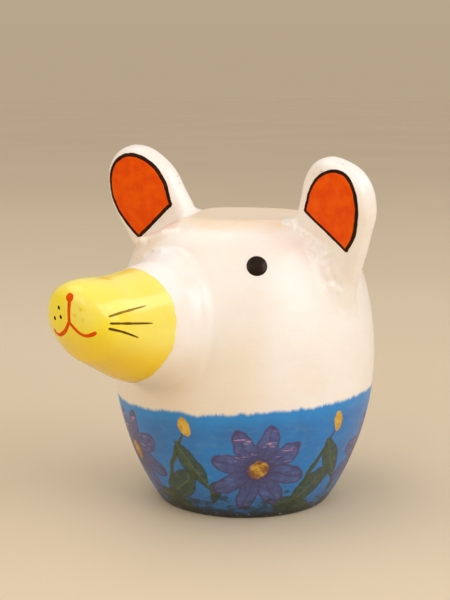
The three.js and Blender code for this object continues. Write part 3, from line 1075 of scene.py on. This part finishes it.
def snout_paint():
    """Yellow from the nose to a hand-painted line, white behind it."""
    material, place = start_finish("snout_yellow")
    across, up, along = to_frame(place, snout_frame())
    white, white_height = white_coat(place)
    cloud = place.speckle(0.12, 3)
    brushed = joined(across, up, along * 0.25).speckle(0.9, 3, 0.6)
    # The pale lemon ground on the top and sides is partly painted sheen; the nose yellow stops
    # short of the nose's top, leaving it pale as painted sheen; and the pale spot on the upper
    # front of the nose is a painted highlight.
    front = along.step(17, 28)
    nose_highlight = (((across - 5.5) / 5) ** 2 + ((up - 4.5) / 6) ** 2).step(1.3, 0.1) * front
    yellow = coats(
        PAINT["yellow"],
        (cloud.step(0.3, 0.75), "deep yellow"),
        (brushed.step(0.55, 0.8) * 0.3, "streak yellow"),
        (front * up.step(12, 5) * 0.9, "nose yellow"),
        (up.step(1, -9), "chin yellow"),
        (nose_highlight * 0.75, "highlight yellow"),
    )

    # The line lies further forward at the top and a little at the bottom
    high = up.node("Clamp", {}, {"Value": up / 14})
    low = up.node("Clamp", {}, {"Value": up / -9})
    wander = (place.speckle(0.3, 1) - 0.5) * 0.9 + (place.speckle(2.2, 2) - 0.5) * 0.3
    line = 7.3 + high**3 * 3.2 + low**2 * 0.9 + wander
    painted = (along - line).step(-0.15, 0.2)
    colour = painted.over(yellow, white)
    rough = place.speckle(0.6, 3) * 0.1 + 0.4 - painted * 0.24
    height = white_height + painted * 0.8 + brushed * 0.15
    gloss = {"shine": 0.4, "coat": painted * 0.5, "coat_roughness": 0.1}
    return lay_finish(material, place, colour, rough, height, 0.1 * MM, **gloss)


def pointed_leaf(around, up, middle, tilt, length, width):
    """How far inside a leaf a spot lies, 0 at its edge, and its place across the vein."""
    turn = math.radians(tilt)
    x, z = around - middle[0], up - middle[1]
    along = x * math.cos(turn) + z * math.sin(turn)
    across = z * math.cos(turn) - x * math.sin(turn)
    return width * (1 - (along / length) ** 2) - abs(across), across


def daisy(around, up, chance, mottle, streak, ragged, ground):
    """A daisy painted over the ground; chance, from 0 to 1, turns and lifts it."""
    petals = 8
    x, z = around + 6.0, up - 14.6 - (chance - 0.5) * 2.0
    reach = (x * x + z * z) ** 0.5
    fan = x.maths("ARCTAN2", z, x) * (petals / FULL_TURN) + chance
    fold = (fan - fan.maths("FLOOR", fan) - 0.5) * (FULL_TURN / petals)
    out, aside = reach * fold.maths("COSINE", fold), reach * fold.maths("SINE", fold)
    shape = (((out - 7.3) / 5.3) ** 2 + (aside / 2.75) ** 2) ** 0.5 - ragged * 0.12
    pink = streak.step(0.58, 0.66) * z.step(0.5, 5) * shape.step(1.0, 0.6)
    petal = coats(
        PAINT["petal"],
        (mottle.step(0.3, 0.72), "pale petal"),
        (streak.step(0.52, 0.7) * 0.6, "petal streak"),
        (reach.step(8.5, 3.0) * 0.55, "petal root"),
        ((0.2 - abs(aside)).step(-0.2, 0.1) * 0.55, "petal vein"),
        (shape.step(0.72, 0.95) * 0.8, "petal edge"),
        (pink * 0.9, "petal pink"),
    )
    flower = (shape.step(1.05, 0.93) * 0.94).over(petal, ground)
    heart = coats(PAINT["heart"], (mottle.step(0.4, 0.6), "pale heart"))
    return reach.step(2.7, 2.2).over(heart, flower)


# Leaves of the wreath in one repeat: the middle in mm, the tilt in degrees, the length and width
LEAVES = [
    ((9.5, 9.0), 38, 8.5, 3.3),
    ((15.5, 15.5), 112, 7.5, 2.9),
    ((4.5, 3.6), 160, 8.0, 2.7),
    ((-17.5, 6.5), 62, 7.0, 2.6),
]
STEM = ((9.5, 15.0), 58, 13.0, 0.75)


def wreath(place, radius, round_x, round_y, ground):
    """Daisies, leaves and buds painted over the ground in five repeats round the body."""
    repeats = 5
    x, y, z = split(place)
    turns = x.maths("ARCTAN2", x, y * -1) * (repeats / FULL_TURN) + 2.695
    cell = turns.maths("FLOOR", turns)
    chance = cell.node("TexWhiteNoise", {"noise_dimensions": "1D"}, {"W": cell})
    shake_around = (place.speckle(0.22, 2) - 0.5) * 2.2
    shake_up = (place.speckle(0.27, 2) - 0.5) * 2.0
    around = (turns - cell - 0.5) * radius * (FULL_TURN / repeats) + shake_around
    up = z + shake_up
    mottle = place.speckle(0.55, 4, 0.65)
    streak = joined(round_x * 0.35, round_y * 0.35, z * 1.9).speckle(0.75, 3, 0.6)
    ragged = (place.speckle(1.3, 3, 0.6) - 0.5) * 0.9
    scratch = joined(round_x * 0.3, round_y * 0.3, z * 2.6).speckle(1.1, 3, 0.7).step(0.62, 0.68)

    art = coats(ground, (pointed_leaf(around, up, *STEM)[0].step(-0.1, 0.25), "stem"))
    for row in LEAVES:
        inside, across = pointed_leaf(around, up, *row)
        leaf = coats(
            PAINT["leaf"],
            (mottle.step(0.35, 0.7), "pale leaf"),
            ((0.22 - abs(across)).step(-0.15, 0.1) * 0.45, "leaf vein"),
            (inside.step(0.7, 0.1) * 0.6, "leaf edge"),
            (scratch * 0.5, "leaf scratch"),
        )
        art = ((inside + ragged).step(-0.2, 0.25) * 0.93).over(leaf, art)
    art = daisy(around, up, chance, mottle, streak, ragged, art)
    bud = (((around - 16.2) / 1.7) ** 2 + ((up - 26.2) / 2.7) ** 2) ** 0.5
    gold = coats(PAINT["bud"], (mottle.step(0.4, 0.65), "pale bud"))
    return bud.step(1.05, 0.9).over(gold, art)


def body_paint():
    """White above, and below it a blue ground with a wreath of daisies, leaves and buds."""
    material, place = start_finish("body_paint")
    white, white_height = white_coat(place)
    x, y, z = split(place)
    radius = (x * x + y * y) ** 0.5
    round_x, round_y = x / radius * 34, y / radius * 34

    # Blue ground, with a bristle-torn upper edge
    bristle = joined(round_x, round_y, z * 0.2).speckle(1.7, 4, 0.75)
    tear = joined(round_x, round_y, z * 0.1).speckle(0.45, 2)
    wave = joined(round_x, round_y, 0.0).speckle(0.06, 1)
    edge = 30.4 + (x * 0.766 + y * 0.643) * 0.043 + (wave - 0.5) * 2.0 + (tear - 0.5) * 1.6
    under_edge = edge - z
    blue_mask = (under_edge + (bristle - 0.5) * 1.3).step(-0.75, 0.45)
    cloud = place.speckle(0.1, 3)
    sweep = joined(round_x * 0.3, round_y * 0.3, z).speckle(0.7, 3, 0.6)
    blue = coats(
        PAINT["blue"],
        (cloud.step(0.35, 0.7), "dull blue"),
        (sweep.step(0.5, 0.75) * 0.6, "chalk blue"),
        (z.step(9, 1) * 0.55, "foot blue"),
        (under_edge.step(5, 0.2) * 0.65, "edge blue"),
    )

    # Wreath over a mossy, rubbed foot, with a dark band along the bottom that is partly a dark
    # painted edge and partly painted contact shadow
    moss = joined(round_x * 0.22, round_y * 0.22, z * 0.5).speckle(1, 3, 0.6)
    worn = place.speckle(0.9, 4, 0.7).step(0.58, 0.68) * z.step(2.2, 0.4)
    art = coats(
        wreath(place, radius, round_x, round_y, blue),
        ((moss - z * 0.035).step(0.3, 0.44) * 0.8, "moss"),
        (z.step(3.2, 0.8) * 0.85, "dark edge and painted shadow"),
        (worn * 0.8, "worn foot"),
    )

    # Crown tinted cream as a painted warm reflection, brushed across, and painted warm light on the
    # smears beside the right ear
    brushed = joined(x * 0.06 + y * 0.05, y * 0.4 - x * 0.34, z * 0.5).speckle(1, 3, 0.6)
    crown = (z + (place.speckle(0.12, 3) - 0.5) * 4).step(73.5, 77)
    crown = crown * (brushed.step(0.35, 0.65) * 0.35 + 0.5)
    smear_light = x.step(0, -9) * y.step(-10, -19) * z.step(61, 67)
    white = coats(white, (crown, "crown reflection cream"), (smear_light * 0.6, "smear light cream"))
    colour = blue_mask.over(art, white)
    rough = white_sheen(place) + blue_mask * 0.06
    height = white_height + blue_mask * 0.7 + sweep * 0.4
    gloss = dict(WHITE_GLOSS, coat=WHITE_GLOSS["coat"] - blue_mask * 0.45)
    return lay_finish(material, place, colour, rough, height, 0.12 * MM, **gloss)


def brushed_enamel(name):
    """A thin coat of one colour, a little streaky."""
    dark, light, rough, shine = ENAMEL[name]
    dark, light = linear(*dark), linear(*light)
    material, place = start_finish(name)
    cloud = place.speckle(0.35, 3)
    streak = place.speckle(1.4, 3, 0.6)
    colour = cloud.step(0.35, 0.7).over(light, dark)
    colour = (streak.step(0.55, 0.8) * 0.4).over(light, colour)
    rough = (streak * 0.4 + 0.8) * rough
    return lay_finish(material, place, colour, rough, streak, 0.04 * MM, shine)


def bare_beech():
    material, place = start_finish("bare_beech")
    x, y, z = split(place)
    grain = joined(x, y, z * 0.12).speckle(1.2, 4, 0.6)
    colour = coats(PAINT["beech"], (grain.step(0.35, 0.7), "pale beech"))
    return lay_finish(material, place, colour, grain * 0.2 + 0.55, grain, 0.05 * MM)


# Pieces

white = pearl_white()
ear_white = carved_white()
yellow = snout_paint()
enamel = {name: brushed_enamel(name) for name in ENAMEL}
beech = bare_beech()

body = finish_piece("turned_body", body_shape(), body_paint(), "body_paint", "body")
body_surface = surface_of(body)
snout = finish_piece("turned_snout", snout_shape(), yellow, "snout_paint", "snout")
snout_surface = surface_of(snout)
collar = snout_filler_shape(snout_surface, body_surface)
finish_piece("snout_collar", collar, white, "filler_paint", "snout_filler")
for hand in SIDE:
    ear = finish_piece(f"{hand}_paddle", ear_shape(hand), ear_white, "ear_paint", f"{hand}_ear")
    ear_surface = surface_of(ear)
    filler = ear_filler_shape(hand, ear_surface, body_surface)
    finish_piece(f"{hand}_ear_fillet", filler, white, "filler_paint", f"{hand}_ear_filler")
    patch = ear_patch(hand, ear_surface)
    finish_piece(f"{hand}_ear_patch", patch, enamel["ear_orange"], "ear_paint")
    outline = patch_line(hand, ear_surface)
    finish_piece(f"{hand}_patch_line", outline, enamel["line_black"], "ear_paint")
    eye = eye_shape(hand)
    finish_piece(f"{hand}_eye_dome", eye, enamel["eye_lacquer"], "eye_lacquer", f"{hand}_eye")

face = {
    "nose_and_mouth": (nose_and_mouth(snout_surface), "mouth_red"),
    "low_whiskers": (whiskers(snout_surface, MIDDLE_WHISKER, LOW_WHISKER), "whisker_brown"),
    "top_whiskers": (whiskers(snout_surface, TOP_WHISKER), "highlit_brown"),
    "freckles": (freckles(snout_surface, DARK_FRECKLES, DARK_HALVES), "line_black"),
    "light_freckles": (freckles(snout_surface, PALE_FRECKLES, PALE_HALVES), "light_freckle"),
}
for name, (shape, paint) in face.items():
    finish_piece(name, shape, enamel[paint], "snout_paint")

for name in ("snout_dowel", "left_ear_dowel", "right_ear_dowel"):
    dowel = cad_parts[name]
    dowel.data.materials.clear()
    dowel.data.materials.append(beech)


# Studio

scene = bpy.context.scene
scene.view_settings.view_transform = "Standard"

# Soft panels: azimuth and elevation in degrees, distance, width and height in metres, watts, tint
PANELS = {
    "key_panel": (89, 29, 0.7, 0.46, 0.42, 1.42, (0.92, 0.95, 1)),
    "rim_panel": (128, 39, 0.7, 0.5, 0.24, 0.88, (0.92, 0.95, 1)),
    "front_panel": (0, 32, 0.9, 0.7, 0.6, 1.5, (1, 0.98, 0.97)),
    "left_panel": (-60, 66, 0.9, 0.6, 0.6, 1.4, (1, 0.98, 0.95)),
}
AIR_ABOVE = (0.64, 0.59, 0.53, 1)
AIR_LEVEL = (0.472, 0.371, 0.254, 1)
FLOOR_RADIUS = 8


def pale_floor():
    material, place = start_finish("pale_floor")
    cloud = place.speckle(0.004, 2)
    colour = coats(PAINT["floor"], (cloud.step(0.3, 0.7), "pale floor"))
    lay_finish(material, place, colour, cloud * 0.1 + 0.6, cloud, 0.01 * MM)
    bm = bmesh.new()
    bmesh.ops.create_circle(bm, cap_ends=True, segments=96, radius=FLOOR_RADIUS)
    floor = place_mesh("floor", bm, material)


def soft_light(name, azimuth, elevation, distance, width, height, power, colour):
    """A soft panel aimed at the figurine's middle; azimuth 0 faces the snout, 90 its left side."""
    lamp = bpy.data.lights.new(name, "AREA")
    lamp.shape = "RECTANGLE"
    lamp.size, lamp.size_y = width, height
    lamp.energy = power
    lamp.color = colour
    a, e = math.radians(azimuth), math.radians(elevation)
    away = Vector((math.sin(a) * math.cos(e), -math.cos(a) * math.cos(e), math.sin(e)))
    panel = bpy.data.objects.new(name, lamp)
    panel.location = Vector((0, 0, BODY_HEIGHT / 2)) + away * distance
    panel.rotation_euler = away.to_track_quat("Z", "Y").to_euler()
    scene.collection.objects.link(panel)


def studio_air():
    """Soft light from all round, paler overhead than at the floor's far edge."""
    world = bpy.data.worlds.new("studio")
    world.use_nodes = True
    tree = world.node_tree
    tree.nodes.clear()
    ray = Wire(tree).node("TexCoord")
    up = split(ray)[2].step(0.0, 0.5)
    glow = ray.node("Background", {}, {"Color": up.over(AIR_ABOVE, AIR_LEVEL), "Strength": 1.0})
    ray.node("OutputWorld", {}, {"Surface": glow})
    scene.world = world


pale_floor()
for name, row in PANELS.items():
    soft_light(name, *row)
studio_air()

# Camera at the photograph's angle, 40 degrees round to the figurine's left
FRAME_PIXELS = 600
FOCAL_PIXELS = 1300
SENSOR = 36
CAMERA_AZIMUTH = math.radians(40)
CAMERA_REACH = 344.7 * MM
CAMERA_HEIGHT = 111.4 * MM
CAMERA_PITCH = 0.167
CAMERA_PAN = -0.015

away = Vector((-math.sin(CAMERA_AZIMUTH), math.cos(CAMERA_AZIMUTH), 0))
right = Vector((math.cos(CAMERA_AZIMUTH), math.sin(CAMERA_AZIMUTH), 0))
level = away * math.cos(CAMERA_PAN) + right * math.sin(CAMERA_PAN)
sight = level * math.cos(CAMERA_PITCH) - Vector((0, 0, math.sin(CAMERA_PITCH)))
optics = bpy.data.cameras.new("camera")
optics.lens = SENSOR * FOCAL_PIXELS / FRAME_PIXELS
optics.sensor_width = SENSOR
optics.clip_start = 0.01
camera = bpy.data.objects.new("camera", optics)
camera.location = away * -CAMERA_REACH + Vector((0, 0, CAMERA_HEIGHT))
camera.rotation_euler = sight.to_track_quat("-Z", "Y").to_euler()
scene.collection.objects.link(camera)
scene.camera = camera
